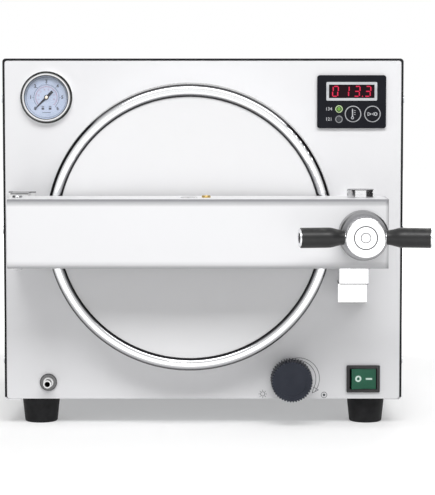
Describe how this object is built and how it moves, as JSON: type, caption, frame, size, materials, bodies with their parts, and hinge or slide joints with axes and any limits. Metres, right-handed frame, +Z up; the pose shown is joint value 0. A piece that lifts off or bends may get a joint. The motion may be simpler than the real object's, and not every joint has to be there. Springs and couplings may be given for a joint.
{
  "type": "portable steam autoclave",
  "caption": "Bench-top steam autoclave with a round side-hung lid, cross beam with clamp handle, pressure gauge, digital controller, exhaust knob and tray rack.",
  "frame": {"origin": "on the bench plane under the four feet, midway across and along the case", "axes": "+Z up, -Y out of the front, +X to the viewer's right"},
  "size_m": [0.4189, 0.5931, 0.3694],
  "materials": {
    "white_paint": "smooth semi-gloss powder coat",
    "beam_paint": "gloss white enamel",
    "bracket_paint": "gloss white enamel",
    "black_trim": "satin",
    "foot_rubber": "matte",
    "gasket_rubber": "matte silicone",
    "polished_steel": "mirror polish",
    "stainless": "satin",
    "machined_steel": "turned",
    "zinc_steel": "zinc plated",
    "brass": "machined",
    "copper_pipe": "drawn tube",
    "bearing_plastic": "smooth",
    "insulation": "glass-fibre felt",
    "grip_plastic": "satin",
    "knob_plastic": "satin",
    "fascia_plastic": "satin film",
    "button_plastic": "satin",
    "window_plastic": "dark red filter",
    "digit_light": "lit",
    "lamp_plastic": "translucent",
    "board": "solder mask",
    "dial_face": "printed dial",
    "needle_paint": "matte",
    "gauge_lens": "clear",
    "switch_plastic": "satin",
    "rocker_plastic": "translucent green",
    "inlet_plastic": "satin"
  },
  "bodies": {
    "case": {"base_tray": "white_paint", "front_panel": "white_paint", "rear_panel": "white_paint", "wrap_cover": "white_paint", "edge_trim": "black_trim", "rubber_feet": "foot_rubber", "case_screws": "zinc_steel", "chamber_shell": "stainless", "chamber_flange": "stainless", "insulation_jacket": "insulation", "chamber_cradle": "zinc_steel", "tray_rack": "stainless", "instrument_trays": "stainless", "heating_tube": "stainless", "support_bars": "zinc_steel", "mounting_bolts": "zinc_steel", "hinge_bracket": "bracket_paint", "hinge_pin": "machined_steel", "hinge_washers": "bearing_plastic", "latch_keeper": "polished_steel", "gauge_case": "stainless", "gauge_bezel": "polished_steel", "gauge_glass": "gauge_lens", "gauge_dial": "dial_face", "inner_pipes": "copper_pipe", "control_fascia": "fascia_plastic", "display_frame": "stainless", "display_window": "window_plastic", "display_digits": "digit_light", "indicator_lamps": "lamp_plastic", "control_board": "board", "exhaust_valve_body": "brass", "drain_fitting": "polished_steel", "switch_housing": "switch_plastic", "power_inlet": "inlet_plastic", "fuse_holders": "inlet_plastic", "safety_valve_body": "brass"},
    "door": {"cross_beam": "beam_paint", "lid_plate": "stainless", "lid_gasket": "gasket_rubber", "lid_rim": "polished_steel", "lid_face": "beam_paint", "lid_boss": "stainless", "lid_pivot_pin": "stainless", "pivot_lock_screw": "brass", "trunnion": "polished_steel"},
    "thrust": {"thrust_collar": "machined_steel"},
    "handle": {"handle_hub": "polished_steel", "hub_washer": "polished_steel", "handle_screw": "machined_steel", "handle_rods": "machined_steel", "handle_grips": "grip_plastic", "grip_end_caps": "polished_steel"},
    "knob": {"exhaust_knob": "knob_plastic", "valve_stem": "machined_steel"},
    "rocker": {"power_rocker": "rocker_plastic"},
    "temperature_key": {"temperature_button": "button_plastic"},
    "start_key": {"start_button": "button_plastic"},
    "needle": {"gauge_needle": "needle_paint"},
    "relief_ring": {"safety_valve_ring": "brass"}
  },
  "joints": [
    {"name": "door_swing", "type": "hinge", "parent": "case", "child": "door", "pos_m": [-0.1797, -0.265, 0.2007], "axis": [0, 0, -1], "range_deg": [0, 135]},
    {"name": "handle_travel", "type": "slide", "parent": "door", "child": "thrust", "axis": [0, -1, 0], "range_m": [0, 0.009]},
    {"name": "handle_turn", "type": "hinge", "parent": "thrust", "child": "handle", "pos_m": [0.1533, -0.33, 0.2005], "axis": [0, -1, 0], "range_deg": [0, 1080]},
    {"name": "exhaust_knob_turn", "type": "hinge", "parent": "case", "child": "knob", "pos_m": [0.0888, -0.21, 0.0477], "axis": [0, -1, 0], "range_deg": [0, 270]},
    {"name": "power_rocker_tilt", "type": "hinge", "parent": "case", "child": "rocker", "pos_m": [0.1616, -0.193, 0.0471], "axis": [0, 0, -1], "range_deg": [0, 16]},
    {"name": "temperature_button_press", "type": "slide", "parent": "case", "child": "temperature_key", "axis": [0, 1, 0], "range_m": [0, 0.0008], "stiffness_N_per_m": 300},
    {"name": "start_button_press", "type": "slide", "parent": "case", "child": "start_key", "axis": [0, 1, 0], "range_m": [0, 0.0008], "stiffness_N_per_m": 300},
    {"name": "gauge_needle_turn", "type": "hinge", "parent": "case", "child": "needle", "pos_m": [-0.1563, -0.1979, 0.3307], "axis": [0, 1, 0], "range_deg": [0, 270], "stiffness_Nm_per_rad": 0.002},
    {"name": "safety_ring_pull", "type": "slide", "parent": "case", "child": "relief_ring", "axis": [0, 1, 0], "range_m": [0, 0.003], "stiffness_N_per_m": 800}
  ],
  "couplings": [
    {"joint": "handle_travel", "follows": "handle_turn", "m_per_rad": 0.0004774}
  ]
}
